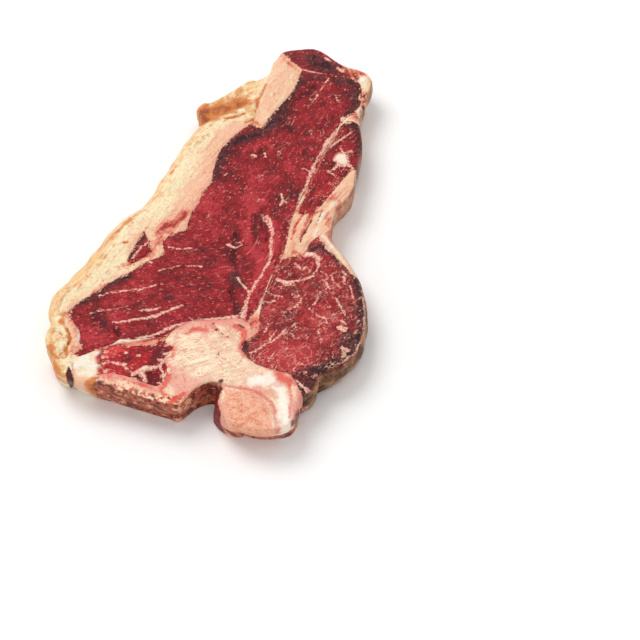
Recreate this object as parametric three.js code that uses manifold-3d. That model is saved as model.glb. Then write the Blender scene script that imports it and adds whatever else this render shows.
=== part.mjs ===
// Raw T-bone steak: one slice across a beef loin, with the half vertebra that gives it its name,
// the muscles on both sides of the bone, the seams of fat between them and the thick outer fat.
// Millimetres, +Z up. The steak lies on its flat under face and its cut face looks up.
// The origin is the middle of the footprint, on the surface that the steak rests on.
import * as THREE from "three";
import { mergeVertices } from "three/addons/utils/BufferGeometryUtils.js";
import Module from "manifold-3d";

// Driving dimensions
const thickness = 20;
const seamGap = 0.3;
const outlineStep = 4.2;
const seamStep = 5;
const reliefStep = 5.6;
const reliefDepth = 6;
const rimRound = 1.2;
const underRound = 1.4;
const prismBottom = -4;
const prismTop = 34;
const wrinkleDepth = 0.7;
const wrinkleLength = 11;

// The rim of the cut face, clockwise from the tail, in stretches that share one kind of wall.
// belly is how far the wall stands out from the rim at mid thickness, and foot how far at the
// under face, each at the stretch's first and last point; a foot below zero is a wall that leans
// in underneath.
const rimStretches = [
  {
    name: "tail end",
    belly: [1.2, 1.2],
    foot: [-1.5, -1.5],
    points: [[36.5, 136.5], [42.5, 138.8], [49, 139.3], [55.5, 140], [60, 138], [65.5, 133.5], [71.5, 127.5]],
  },
  {
    name: "edge fat",
    belly: [0.8, 0.8],
    foot: [-3, -3.5],
    points: [
      [76, 124.8], [81.5, 123.3], [86.5, 120.3], [90, 114.5], [89.5, 107.5], [86.6, 101.5], [86.4, 96.5],
      [84, 92.5],
    ],
  },
  {
    name: "flank side",
    belly: [0.8, 0.8],
    foot: [-1.5, -1.5],
    points: [[82.5, 85.5], [82.5, 78], [83.5, 68.5], [83, 59.5], [81.5, 50], [79.5, 41], [78, 30.5]],
  },
  {
    name: "fat between flank and tenderloin",
    belly: [0.4, 0.4],
    foot: [-3, -3],
    points: [[75, 23], [71, 18.5], [68.5, 12], [66.8, 4], [65.5, -3.5]],
  },
  {
    name: "tenderloin",
    belly: [2.4, 2.4],
    foot: [-1.5, -1.5],
    points: [
      [66, -9.5], [70, -15.5], [74, -22.5], [77, -29], [80, -36], [82, -43.5], [83.5, -53], [83.5, -62.5],
      [82, -73.5], [80, -82],
    ],
  },
  {
    name: "lower end of the tenderloin",
    belly: [2, 0.6],
    foot: [-3.6, -2],
    points: [[75.5, -90], [70.5, -95.5], [64, -99.5], [58.5, -102]],
  },
  {
    name: "small muscle by the vertebra",
    belly: [0.6, 0.2],
    foot: [-1.6, -3.4],
    points: [[57.8, -107], [56, -111.5], [52.5, -114.5], [49, -117.5]],
  },
  {
    name: "side of the vertebra",
    belly: [0.6, 0],
    foot: [-1, -3.6],
    points: [[47.8, -123.5], [46.3, -130.5]],
  },
  {
    name: "sawn front of the vertebra",
    belly: [-1, -1],
    foot: [-8.4, -9.4],
    points: [[42, -136.8], [35.5, -139.2], [28.5, -139.7], [21.5, -138.9], [14.5, -136.3]],
  },
  {
    name: "front corner by the spinal canal",
    belly: [0, 0.6],
    foot: [-4.5, 0],
    points: [[9.6, -132], [7, -126.5]],
  },
  {
    name: "wall of the spinal canal",
    belly: [1.4, 1.4],
    foot: [3.8, 4.6],
    points: [[6, -120], [6.2, -113]],
  },
  {
    name: "roof of the spinal canal",
    belly: [0, -0.2],
    foot: [2, -0.8],
    points: [[4.8, -107], [1, -106.8], [-3, -108.6], [-7.5, -112]],
  },
  {
    name: "tip of the spine",
    belly: [-0.3, -0.8],
    foot: [-1.3, -3.4],
    points: [[-11, -116.5], [-13.8, -120.6], [-17, -122.7]],
  },
  {
    name: "sawn edge of the spine",
    belly: [-1, -0.6],
    foot: [-4.6, -5],
    points: [[-21.5, -122.5], [-27, -120.8], [-33.5, -118.5], [-40, -116.3], [-47, -113.8], [-53, -111.3]],
  },
  {
    name: "ligament end",
    belly: [0, -0.6],
    foot: [-5.6, -9.2],
    points: [[-59.5, -109.8], [-66, -108.6], [-72.5, -106.6], [-79, -103.2]],
  },
  {
    name: "rolled corner of fat",
    belly: [0.4, 0.5],
    foot: [-6.2, -0.6],
    points: [[-83, -99.3], [-84.6, -94.5], [-85, -89.5]],
  },
  {
    name: "rolled lump of fat",
    belly: [0.6, 2.4],
    foot: [-1.4, -2],
    points: [[-87, -84.3], [-88.8, -79.8], [-89.4, -75], [-88.4, -70.6], [-86.3, -66.8], [-86.4, -60]],
  },
  {
    name: "outer fat, lower end",
    belly: [4.2, 8.6],
    foot: [0.4, 1.4],
    points: [[-85.8, -53.5], [-83.6, -47.3], [-78.2, -41.5], [-71.3, -34]],
  },
  {
    name: "outer fat",
    belly: [8.2, 8.2],
    foot: [2, 2],
    points: [
      [-65.5, -26], [-61.5, -18.5], [-57, -11], [-53, -3], [-48.5, 4], [-43, 9.5], [-37.5, 14], [-32.5, 20],
      [-28.5, 27.5], [-25, 37.5], [-20.5, 46.5], [-17, 55], [-12.5, 64], [-7.5, 73], [-2, 80], [5, 85],
      [12.5, 89], [18.5, 92.5],
    ],
  },
  {
    name: "upper lobe of fat",
    belly: [11, 11],
    foot: [4, 4],
    points: [[23, 98.5], [26, 106], [30, 112.5]],
  },
  {
    name: "end of the upper lobe",
    belly: [7, 5],
    foot: [2, 0],
    points: [[33.8, 119], [35.8, 125.5], [36, 131]],
  },
];

// Levels of the wall: height as a share of the thickness, then the shares of belly and foot there
const wallLevels = [
  { height: 0, belly: 0, foot: 1, inset: underRound },
  { height: 0.07, belly: 0.2, foot: 0.93, inset: 0 },
  { height: 0.27, belly: 0.7, foot: 0.68, inset: 0 },
  { height: 0.5, belly: 1, foot: 0.42, inset: 0 },
  { height: 0.72, belly: 0.84, foot: 0.2, inset: 0 },
  { height: 0.9, belly: 0.42, foot: 0.06, inset: 0 },
  { height: 1.02, belly: 0, foot: 0, inset: rimRound },
  { height: 1.25, belly: 0, foot: 0, inset: rimRound * 2 },
];

// The dried tongue of outer fat that stands out beside the upper lobe: outline and three levels
const tongueOutline = [
  [-12.6, 98.2], [-9.5, 101.6], [-5, 102], [-1, 104.6], [5.5, 109.8], [12.5, 115.6], [20, 120.5],
  [27, 112], [21, 98], [12, 88], [3, 83], [-5, 80], [-10.8, 85], [-11.2, 92],
];
const tongueLevels = [
  { height: 2.5, inset: 1.4 },
  { height: 6, inset: 0.2 },
  { height: 11.5, inset: 0 },
  { height: 14.6, inset: 1.3 },
];

// Soft rises and hollows of the cut face: centre, reach and height
const faceSwells = [
  { name: "crown of the tenderloin", x: 57, y: -58, reach: 24, height: 1.1 },
  { name: "hollow of the strip loin", x: 22, y: 45, reach: 34, height: -0.7 },
  { name: "strip loin by the fat", x: -38, y: -52, reach: 24, height: -0.6 },
  { name: "arch of the bone", x: -4, y: -88, reach: 15, height: 0.8 },
  { name: "body of the vertebra", x: 27, y: -121, reach: 17, height: 0.9 },
  { name: "edge of the spine", x: -38, y: -112, reach: 13, height: 0.5 },
  { name: "tendon in the flank", x: 71, y: 53, reach: 4.5, height: 0.9 },
  { name: "rolled lump of fat", x: -79, y: -79, reach: 8.5, height: 2.2 },
  { name: "hollow behind the lump", x: -69, y: -73, reach: 5.5, height: -1.6 },
  { name: "fat along the strip loin", x: -44, y: -8, reach: 13, height: 0.8 },
  { name: "crown of the outer fat", x: -22, y: 33, reach: 13, height: 0.9 },
  { name: "upper lobe", x: 33, y: 106, reach: 10, height: 1.1 },
  { name: "crease under the upper lobe", x: 21.5, y: 90, reach: 4.6, height: -1.9 },
  { name: "fat between the muscles", x: 57, y: 6, reach: 10, height: 0.8 },
  { name: "dip beside the tenderloin", x: 49, y: -17, reach: 5, height: -1.2 },
  { name: "knob of edge fat", x: 85, y: 113, reach: 6, height: 0.9 },
  { name: "dip in the small muscle", x: -31, y: -103, reach: 6, height: -1.2 },
  { name: "ridge in the small muscle", x: -33, y: -97, reach: 4.5, height: 0.9 },
  { name: "dip at the spinal nerve", x: 17, y: -72, reach: 5, height: -1.1 },
  { name: "pit in the strip loin", x: 42, y: 81, reach: 4.5, height: -1.1 },
  { name: "split in the strip loin", x: 2, y: -8, reach: 4.8, height: -1.3 },
];

// Long shallow waves that leave the cut face uneven: direction, length and height
const faceWaves = [
  { angle: 0.35, length: 47, height: 0.28 },
  { angle: 1.25, length: 33, height: 0.22 },
  { angle: 2.3, length: 21, height: 0.16 },
];

// Each piece is what its outline holds of the slab, less the pieces named before it. Where two
// pieces meet, the first one's outline is the seam and the later one's runs on inside the first.
const pieceOutlines = [
  {
    name: "bone",
    color: 0xe4bd9c,
    roughness: 0.55,
    points: [
      [-60.5, -104.5], [-57, -102], [-52.5, -101.6], [-46, -102.8], [-40, -105.4], [-34, -107.9],
      [-28.6, -109.8], [-25, -108.2], [-23.3, -104], [-22.5, -97], [-24.8, -91], [-21, -86.5], [-19.5, -83.5],
      [-24.5, -78.5], [-21, -72.5], [-16, -68.5], [-11.5, -65.7], [-3, -65], [7, -64.7], [17, -64],
      [20.5, -67], [22.5, -72.5], [19.5, -76.5], [16.8, -80.5], [16.6, -85], [20, -90.5], [24.5, -94.5],
      [30.5, -97.5], [37, -100.2], [41.5, -101], [44.5, -104], [47, -109], [48.6, -113.5], [50.5, -118.5],
      [60, -123], [58, -148], [20, -152], [-20, -136], [-50, -130], [-62.5, -124], [-61, -112],
    ],
  },
  {
    name: "strip_loin",
    color: 0x93262f,
    roughness: 0.42,
    points: [
      [49.5, 122], [53.5, 120.3], [60.5, 118.5], [68.5, 117.3], [75, 115.4], [80.5, 113.5], [83, 109],
      [83.4, 101], [82, 93], [79, 87.5], [74.5, 84.3], [71, 80.5], [68.3, 73], [65.3, 66], [61, 56], [57, 45.5],
      [54.3, 37], [51, 28.5], [47.5, 20], [44.6, 12], [42.3, 3], [40.3, -11], [37.5, -21], [33, -31],
      [30, -41], [27.6, -50.5], [25, -57], [21.5, -62.5], [15, -71], [-11.5, -75], [-30, -76], [-43.5, -77.5],
      [-49.5, -77.5], [-53, -80.7], [-60, -84], [-66.5, -87.5], [-70.8, -89.3], [-73, -88], [-69, -84.5],
      [-70.8, -80], [-71.8, -74], [-73.8, -67], [-78.6, -60.5], [-76.5, -57], [-73, -53], [-67, -48.5],
      [-60, -42.7], [-51, -34], [-44.5, -30.5], [-38.5, -25], [-29.5, -21], [-27, -16.5], [-28, -11],
      [-25, -5], [-15.5, -0.5], [-13.8, 6.5], [-12.6, 12.5], [-8.5, 19.5], [-6.5, 27.5], [-2.5, 33],
      [0, 49.5], [2.5, 58.5], [6.5, 65.5], [13, 73], [18, 77.3], [20.3, 81], [22.8, 76.8], [25.8, 76],
      [29.4, 81], [32.5, 88], [37, 93.7], [41.5, 100], [46.5, 111.5], [47.5, 118],
    ],
  },
  {
    name: "flank_muscle",
    color: 0x8e242c,
    roughness: 0.42,
    points: [
      [71.5, 77.5], [75.5, 81], [79.5, 80.5], [83, 76.5], [90, 73], [90, 50], [83, 46.5], [77.5, 44.2],
      [72, 37], [66.5, 28.5], [62, 21], [58, 14.5], [53, 12], [48, 11.5], [49.3, 17.5], [53, 28.5],
      [57, 39.5], [60.3, 49.5], [64.3, 58.5], [68.5, 68],
    ],
  },
  {
    name: "tenderloin",
    color: 0x94303a,
    roughness: 0.45,
    points: [
      [58.5, -7], [54.5, -9.7], [53, -13.7], [49.5, -20], [44.5, -19.5], [39.5, -21.5], [36, -26.5],
      [33.5, -33.5], [31.3, -41], [29, -48.5], [27.5, -55], [27, -63], [27.3, -71], [24, -75.5], [19, -78.5],
      [14, -84], [18, -94], [30, -102], [42, -106], [46.5, -100.3], [52, -101.3], [57, -103.5], [63, -108],
      [72, -112], [96, -99], [98, -60], [90, -35], [79, -35], [73.5, -28], [68, -21], [62.5, -12.5],
    ],
  },
  {
    name: "tail_muscle",
    color: 0x6e1f26,
    roughness: 0.5,
    points: [
      [37, 146], [38.3, 136], [41.3, 131.2], [45.5, 127], [49.5, 123], [53, 115], [62, 112], [72, 111],
      [75.2, 117], [73.2, 121.5], [71.6, 127], [76, 140], [60, 150], [44, 150],
    ],
  },
  {
    name: "multifidus",
    color: 0x7d1f28,
    roughness: 0.42,
    points: [
      [-57.3, -86], [-54.5, -83.3], [-49, -82.2], [-43, -83], [-36.5, -83], [-31, -82.3], [-27.5, -79.3],
      [-22, -78], [-16, -84], [-18, -96], [-18, -106], [-24, -114], [-36, -112], [-46, -108],
      [-54, -106], [-57.2, -100], [-58, -94.5], [-58.6, -90],
    ],
  },
  {
    name: "side_muscle",
    color: 0x7b1f27,
    roughness: 0.42,
    points: [
      [-39, -2.8], [-36.8, -8], [-35.6, -12.5], [-33.8, -15], [-35.5, -18.3], [-40, -21.3], [-44.5, -23.4],
      [-47.3, -22.5], [-46.6, -19.5], [-44, -14.5], [-42, -9],
    ],
  },
  {
    name: "vertebra_muscle",
    color: 0x4a1d1b,
    roughness: 0.55,
    points: [[36, -94], [46, -90], [62, -92], [72, -104], [70, -122], [56, -130], [46, -126], [38, -112]],
  },
  {
    name: "ligament",
    color: 0xeed9b4,
    roughness: 0.5,
    points: [
      [-74.3, -90.5], [-70, -90], [-66, -84], [-58, -79], [-50, -72], [-38, -72], [-22, -73], [-16, -82],
      [-34, -92], [-50, -96], [-54, -104], [-54, -114], [-58, -128], [-72, -128], [-70.5, -109.5],
      [-72.3, -103], [-73.8, -96.5],
    ],
  },
  {
    name: "edge_fat",
    color: 0xe9c4a2,
    roughness: 0.5,
    points: [[70, 146], [66, 122], [70, 108], [66, 90], [66, 81], [74, 76.5], [96, 72], [100, 100], [100, 140]],
  },
  {
    name: "inner_fat",
    color: 0xecc5a4,
    roughness: 0.5,
    points: [
      [68, 86], [56, 62], [46, 34], [36, 8], [32, -16], [22, -44], [14, -62], [10, -74], [14, -84],
      [26, -86], [34, -70], [36, -44], [46, -28], [60, -26], [76, -44], [98, -44], [98, 48], [86, 48],
      [76, 56], [70, 40], [60, 26], [58, 30], [68, 56], [78, 74],
    ],
  },
  {
    name: "fat_cap",
    color: 0xeecfa2,
    roughness: 0.5,
    points: [
      [30, 150], [52, 144], [58, 126], [60, 106], [46, 84], [24, 60], [10, 30], [-8, -20], [-40, -56],
      [-60, -72], [-66, -96], [-64, -130], [-100, -120], [-104, -40], [-70, 20], [-40, 80], [-30, 120],
      [10, 150],
    ],
  },
];

// A closed smooth line through hand-placed points, cut into steps of about one length. Any further
// numbers of a point, such as belly and foot, change evenly from one point to the next.
function sampleLine(rows, step) {
  const corners = rows.map(([x, y]) => new THREE.Vector3(x, y, 0));
  const curve = new THREE.CatmullRomCurve3(corners, true, "centripetal");
  const samples = [];
  rows.forEach((row, i) => {
    const next = rows[(i + 1) % rows.length];
    const length = Math.hypot(next[0] - row[0], next[1] - row[1]);
    const pieces = Math.max(1, Math.round(length / step));
    for (let k = 0; k < pieces; k += 1) {
      const share = k / pieces;
      const place = curve.getPoint((i + share) / rows.length);
      const values = row.slice(2).map((value, j) => THREE.MathUtils.lerp(value, next[j + 2], share));
      samples.push({ x: place.x, y: place.y, values });
    }
  });
  const flat = samples.map(({ x, y }) => new THREE.Vector2(x, y));
  if (THREE.ShapeUtils.area(flat) < 0) {
    samples.reverse();
  }
  return samples;
}

// The outward direction at each sample of a line that runs anticlockwise
function outwardAt(samples, i) {
  const before = samples[(i + samples.length - 2) % samples.length];
  const after = samples[(i + 2) % samples.length];
  return new THREE.Vector2(after.y - before.y, before.x - after.x).normalize();
}

// A closed solid between rings of equal count, lowest ring first
function loft(rings) {
  const count = rings[0].length;
  const positions = rings.flat().flatMap((p) => [p.x, p.y, p.z]);
  const index = [];
  for (let level = 0; level < rings.length - 1; level += 1) {
    for (let i = 0; i < count; i += 1) {
      const j = (i + 1) % count;
      const low = level * count;
      const high = low + count;
      index.push(low + i, low + j, high + j);
      index.push(low + i, high + j, high + i);
    }
  }
  const top = (rings.length - 1) * count;
  const lowFaces = THREE.ShapeUtils.triangulateShape(rings[0].map((p) => new THREE.Vector2(p.x, p.y)), []);
  const topFaces = THREE.ShapeUtils.triangulateShape(rings.at(-1).map((p) => new THREE.Vector2(p.x, p.y)), []);
  lowFaces.forEach(([a, b, c]) => index.push(c, b, a));
  topFaces.forEach(([a, b, c]) => index.push(top + a, top + b, top + c));
  const geometry = new THREE.BufferGeometry();
  geometry.setAttribute("position", new THREE.Float32BufferAttribute(positions, 3));
  geometry.setIndex(index);
  return geometry;
}

// The slab's wall: the rim carried down through every level, wrinkled where it bellies out
function slabGeometry() {
  const rows = rimStretches.flatMap(({ points, belly, foot }) =>
    points.map(([x, y], i) => {
      const share = i / (points.length - 1);
      return [x, y, THREE.MathUtils.lerp(...belly, share), THREE.MathUtils.lerp(...foot, share)];
    }),
  );
  const samples = sampleLine(rows, outlineStep);
  const rings = wallLevels.map((level) =>
    samples.map((sample, i) => {
      const [belly, foot] = sample.values;
      const out = outwardAt(samples, i);
      const along = Math.sin((sample.x + 1.7 * sample.y) / wrinkleLength);
      const wrinkle = along * Math.sin(sample.y / 4 + level.height * 5);
      const swell = belly * level.belly + foot * level.foot - level.inset;
      const reach = swell + wrinkleDepth * wrinkle * level.belly * Math.min(1, Math.abs(belly) / 4);
      return new THREE.Vector3(sample.x + out.x * reach, sample.y + out.y * reach, level.height * thickness);
    }),
  );
  return loft(rings);
}

// The tongue of dried fat, thinner towards its under side and its top
function tongueGeometry() {
  const samples = sampleLine(tongueOutline, outlineStep);
  const rings = tongueLevels.map(({ height, inset }) =>
    samples.map((sample, i) => {
      const out = outwardAt(samples, i);
      return new THREE.Vector3(sample.x - out.x * inset, sample.y - out.y * inset, height);
    }),
  );
  return loft(rings);
}

// Height of the cut face at a place
function faceHeight(x, y) {
  let height = thickness;
  faceSwells.forEach((swell) => {
    const away = Math.hypot(x - swell.x, y - swell.y) / swell.reach;
    height += swell.height * Math.exp(-away * away);
  });
  faceWaves.forEach((wave) => {
    const along = x * Math.cos(wave.angle) + y * Math.sin(wave.angle);
    height += wave.height * Math.sin((2 * Math.PI * along) / wave.length);
  });
  return height;
}

// A block whose top is the cut face, to trim the slab with
function faceGeometry() {
  const width = 204;
  const length = 304;
  const columns = Math.round(width / reliefStep);
  const rows = Math.round(length / reliefStep);
  const block = new THREE.BoxGeometry(width, length, thickness + reliefDepth, columns, rows, 1);
  block.translate(0, 0, (thickness - reliefDepth) / 2);
  const position = block.attributes.position;
  for (let i = 0; i < position.count; i += 1) {
    if (position.getZ(i) > 0) {
      position.setZ(i, faceHeight(position.getX(i), position.getY(i)));
    }
  }
  return block;
}

// An upright prism on a piece's outline, widened all round by a margin
function prismGeometry(points, margin) {
  const samples = sampleLine(points, seamStep);
  const rings = [prismBottom, prismTop].map((z) =>
    samples.map((sample, i) => {
      const out = outwardAt(samples, i);
      return new THREE.Vector3(sample.x + out.x * margin, sample.y + out.y * margin, z);
    }),
  );
  return loft(rings);
}

// Solids for joining and cutting
const wasm = await Module();
wasm.setup();

function toSolid(geometry) {
  const bare = geometry.clone();
  bare.deleteAttribute("normal");
  bare.deleteAttribute("uv");
  const merged = mergeVertices(bare, 1e-4);
  const mesh = new wasm.Mesh({
    numProp: 3,
    vertProperties: new Float32Array(merged.attributes.position.array),
    triVerts: new Uint32Array(merged.index.array),
  });
  return new wasm.Manifold(mesh);
}

function toGeometry(solid) {
  const mesh = solid.getMesh();
  const geometry = new THREE.BufferGeometry();
  geometry.setAttribute("position", new THREE.Float32BufferAttribute(mesh.vertProperties, 3));
  geometry.setIndex(Array.from(mesh.triVerts));
  const faceted = geometry.toNonIndexed();
  faceted.computeVertexNormals();
  return faceted;
}

// The whole slab, then the pieces cut out of it in turn
const slab = toSolid(slabGeometry()).add(toSolid(tongueGeometry())).intersect(toSolid(faceGeometry()));
const steak = new THREE.Group();
const taken = [];
pieceOutlines.forEach(({ name, color, roughness, points }) => {
  let solid = slab.intersect(toSolid(prismGeometry(points, 0)));
  taken.forEach((earlier) => {
    solid = solid.subtract(earlier);
  });
  taken.push(toSolid(prismGeometry(points, seamGap)));
  const material = new THREE.MeshStandardMaterial({ color, roughness, metalness: 0 });
  const mesh = new THREE.Mesh(toGeometry(solid), material);
  mesh.name = name;
  steak.add(mesh);
});

export default steak;
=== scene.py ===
import math

import bpy
import numpy as np
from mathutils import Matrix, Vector
from mathutils.bvhtree import BVHTree


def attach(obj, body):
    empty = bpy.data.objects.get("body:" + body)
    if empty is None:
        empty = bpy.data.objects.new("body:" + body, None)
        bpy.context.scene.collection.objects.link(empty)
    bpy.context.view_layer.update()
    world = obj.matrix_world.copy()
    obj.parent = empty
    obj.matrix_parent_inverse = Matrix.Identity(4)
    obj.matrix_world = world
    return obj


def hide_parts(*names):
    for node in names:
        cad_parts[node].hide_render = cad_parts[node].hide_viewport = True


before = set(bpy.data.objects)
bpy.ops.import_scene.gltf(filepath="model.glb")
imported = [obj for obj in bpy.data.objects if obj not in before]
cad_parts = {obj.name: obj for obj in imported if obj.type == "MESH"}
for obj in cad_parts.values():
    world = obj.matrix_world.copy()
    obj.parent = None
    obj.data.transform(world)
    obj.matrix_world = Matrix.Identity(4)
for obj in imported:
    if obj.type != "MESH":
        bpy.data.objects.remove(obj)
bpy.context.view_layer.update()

# Camera
# The slice lies flat on a table. The picture is taken over the vertebra's end, from 52 degrees
# above the table and 1.5 m away from where the picture's middle meets it.
camera_height_angle = 52
camera_place = (0.0595, -0.9725, 1.1820)
camera = bpy.data.objects.new("camera", bpy.data.cameras.new("camera"))
camera.data.lens = 151.875
camera.data.sensor_width = 36
camera.location = camera_place
camera.rotation_euler = (math.radians(90 - camera_height_angle), 0, 0)
bpy.context.collection.objects.link(camera)
bpy.context.scene.camera = camera
bpy.context.scene.view_settings.view_transform = "Standard"

# Floor and studio light
# A plain pale floor under an even white sky, with one large soft lamp at the back left. They are
# stage: the floor lies just under the slice and takes its soft shadow.
floor_gap = 0.0002
sky_strength = 0.76


def srgb(red, green, blue):
    """A colour given in 0 to 255 as Blender's linear values."""
    shares = [value / 255 for value in (red, green, blue)]
    linear = [s / 12.92 if s <= 0.04045 else ((s + 0.055) / 1.055) ** 2.4 for s in shares]
    return (*linear, 1)


world = bpy.data.worlds.new("studio")
world.use_nodes = True
sky = world.node_tree.nodes["Background"]
sky.inputs["Color"].default_value = (1, 1, 1, 1)
sky.inputs["Strength"].default_value = sky_strength
bpy.context.scene.world = world

bpy.ops.mesh.primitive_plane_add(size=9, location=(0, 0, -floor_gap))
floor = bpy.context.object
floor.name = "floor"
floor_look = bpy.data.materials.new("floor")
floor_look.use_nodes = True
floor_shader = floor_look.node_tree.nodes["Principled BSDF"]
floor_shader.inputs["Base Color"].default_value = (0.97, 0.97, 0.965, 1)
floor_shader.inputs["Roughness"].default_value = 0.9
floor_shader.inputs["Specular IOR Level"].default_value = 0
floor.data.materials.append(floor_look)

lamp = bpy.data.objects.new("softbox", bpy.data.lights.new("softbox", "AREA"))
lamp.data.shape = "DISK"
lamp.data.size = 1.3
lamp.data.energy = 19
lamp.location = (-0.8, 0.75, 1.7)
lamp.rotation_euler = (Vector((0, 0, 0)) - lamp.location).to_track_quat("-Z", "Y").to_euler()
bpy.context.collection.objects.link(lamp)

# The slice
# One sawn slice across the loin. Its pieces cling together, so they share one fine closed skin,
# which is made over all the CAD pieces and then cut apart along the same seams.
skin_step = 0.0007
skin_swell = 0.0003
skin_lowest = 0.00003
seam_close = 0.00025
seam_left = 0.00002
lean_nodes = (
    "strip_loin", "flank_muscle", "tenderloin", "tail_muscle", "multifidus", "side_muscle",
    "vertebra_muscle",
)

# In mm: the heights at which the pieces' outlines are read, and the grid that holds distances.
middle_height = 10
top_height = 19.2
grid_step = 0.5
grid_x = np.arange(-98, 98.1, grid_step)
grid_y = np.arange(-148, 148.1, grid_step)


def select_only(piece):
    bpy.ops.object.select_all(action="DESELECT")
    bpy.context.view_layer.objects.active = piece
    piece.select_set(True)


def apply_modifier(piece, kind, **settings):
    select_only(piece)
    modifier = piece.modifiers.new(kind.lower(), kind)
    for key, value in settings.items():
        setattr(modifier, key, value)
    bpy.ops.object.modifier_apply(modifier=modifier.name)


def read(mesh, what="co"):
    """Places or normals of the vertices, as rows."""
    values = np.empty(len(mesh.vertices) * 3, np.float32)
    mesh.vertices.foreach_get(what, values)
    return values.reshape(-1, 3).astype(float)


def move_to(mesh, rows):
    mesh.vertices.foreach_set("co", rows.astype(np.float32).ravel())
    mesh.update()


def places(piece):
    """Places of a piece's vertices in mm, as x, y and z."""
    return (read(piece.data) * 1000).T


def rise(value, width):
    """Rises from 0 to 1 while a value goes from 0 to a width."""
    return np.clip(value / width, 0, 1)


def node_copy(node, name):
    """A copy of a CAD node as one closed mesh with shared vertices."""
    piece = bpy.data.objects.new(name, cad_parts[node].data.copy())
    piece.data.materials.clear()
    bpy.context.collection.objects.link(piece)
    select_only(piece)
    bpy.ops.object.mode_set(mode="EDIT")
    bpy.ops.mesh.select_all(action="SELECT")
    bpy.ops.mesh.remove_doubles(threshold=1e-5)
    bpy.ops.object.mode_set(mode="OBJECT")
    return piece


def between(table, i, j, s, t):
    """A table's value between rows i, i + 1 and columns j, j + 1, at the shares s and t."""
    i, next_i = i % len(table), (i + 1) % len(table)
    j, next_j = j % len(table[0]), (j + 1) % len(table[0])
    low = table[i, j] * (1 - s) + table[next_i, j] * s
    high = table[i, next_j] * (1 - s) + table[next_i, next_j] * s
    return low * (1 - t) + high * t


def grain(x, y, size, seed):
    """Smooth random relief between -1 and 1, with lumps of one size in mm."""
    table = np.random.default_rng(seed).uniform(-1, 1, (128, 128))
    i, j = np.floor(x / size).astype(int), np.floor(y / size).astype(int)
    s, t = x / size - i, y / size - j
    return between(table, i, j, s * s * (3 - 2 * s), t * t * (3 - 2 * t))


def outline_of(node, height):
    """Where a CAD node's walls cross a height, as rows of x, y, x, y in mm."""
    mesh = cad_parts[node].data
    mesh.calc_loop_triangles()
    corners = np.empty(len(mesh.loop_triangles) * 3, np.int32)
    mesh.loop_triangles.foreach_get("vertices", corners)
    triangles = read(mesh)[corners.reshape(-1, 3)] * 1000
    above = triangles[:, :, 2] > height
    rows = []
    for corner, high in zip(triangles, above):
        if high.all() or not high.any():
            continue
        row = []
        for k in range(3):
            a, b = corner[k], corner[(k + 1) % 3]
            if high[k] != high[(k + 1) % 3]:
                row.extend((a + (b - a) * (height - a[2]) / (b[2] - a[2]))[:2])
        rows.append(row)
    return np.array(rows)


def away_from(x, y, ax, ay, bx, by):
    """Distance of places from a straight stretch, and the share of it where it is nearest."""
    length = max((bx - ax) ** 2 + (by - ay) ** 2, 1e-9)
    share = np.clip(((x - ax) * (bx - ax) + (y - ay) * (by - ay)) / length, 0, 1)
    return np.hypot(x - ax - share * (bx - ax), y - ay - share * (by - ay)), share


def distance_field(rows, reach=18):
    """On the grid, the distance from a set of stretches, up to a reach in mm."""
    field = np.full((len(grid_x), len(grid_y)), float(reach))
    for ax, ay, bx, by in rows:
        i = slice(*np.searchsorted(grid_x, (min(ax, bx) - reach, max(ax, bx) + reach)))
        j = slice(*np.searchsorted(grid_y, (min(ay, by) - reach, max(ay, by) + reach)))
        away, _ = away_from(grid_x[i, None], grid_y[None, j], ax, ay, bx, by)
        field[i, j] = np.minimum(field[i, j], away)
    return field


def inside_field(rows):
    """On the grid, whether a place lies inside closed outlines."""
    ax, ay, bx, by = rows.T
    inside = np.zeros((len(grid_x), len(grid_y)), bool)
    for j, y in enumerate(grid_y + 0.0137):
        crossed = (ay > y) != (by > y)
        at = ax[crossed] + (y - ay[crossed]) / (by - ay)[crossed] * (bx - ax)[crossed]
        inside[:, j] = (at[None, :] > grid_x[:, None]).sum(1) % 2 == 1
    return inside


def look_up(field, x, y):
    """A grid field's value at places in mm, evened between the grid's points."""
    u = np.clip((x - grid_x[0]) / grid_step, 0, len(grid_x) - 1.001)
    v = np.clip((y - grid_y[0]) / grid_step, 0, len(grid_y) - 1.001)
    i, j = u.astype(int), v.astype(int)
    return between(field, i, j, u - i, v - j)


def near_line(x, y, points):
    """Distance in mm from a line through points, and how far along it from 0 to 1."""
    points = np.array(points, float)
    if len(points) == 1:
        return np.hypot(x - points[0, 0], y - points[0, 1]), np.zeros_like(x)
    nearest = np.full(x.shape, 1e9)
    along = np.zeros(x.shape)
    for k, ((ax, ay), (bx, by)) in enumerate(zip(points[:-1], points[1:])):
        away, share = away_from(x, y, ax, ay, bx, by)
        closer = away < nearest
        nearest[closer] = away[closer]
        along[closer] = ((k + share) / (len(points) - 1))[closer]
    return nearest, along


def lines_field(x, y, lines):
    """Signed distance in mm from lines of changing width: below zero inside any of them.
    A line is (width at its start, width at its end, points)."""
    field = np.full(x.shape, 9.0)
    for first, last, points in lines:
        away, along = near_line(x, y, points)
        field = np.minimum(field, away - (first + (last - first) * along) / 2)
    return field


def glow(x, y, lines):
    """How strongly soft marks show, from 0 to 1. A mark is (reach, strength, points)."""
    left = np.ones(x.shape)
    for reach, strength, points in lines:
        away, _ = near_line(x, y, points)
        left *= 1 - strength * np.exp(-((away / reach) ** 2))
    return 1 - left


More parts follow.
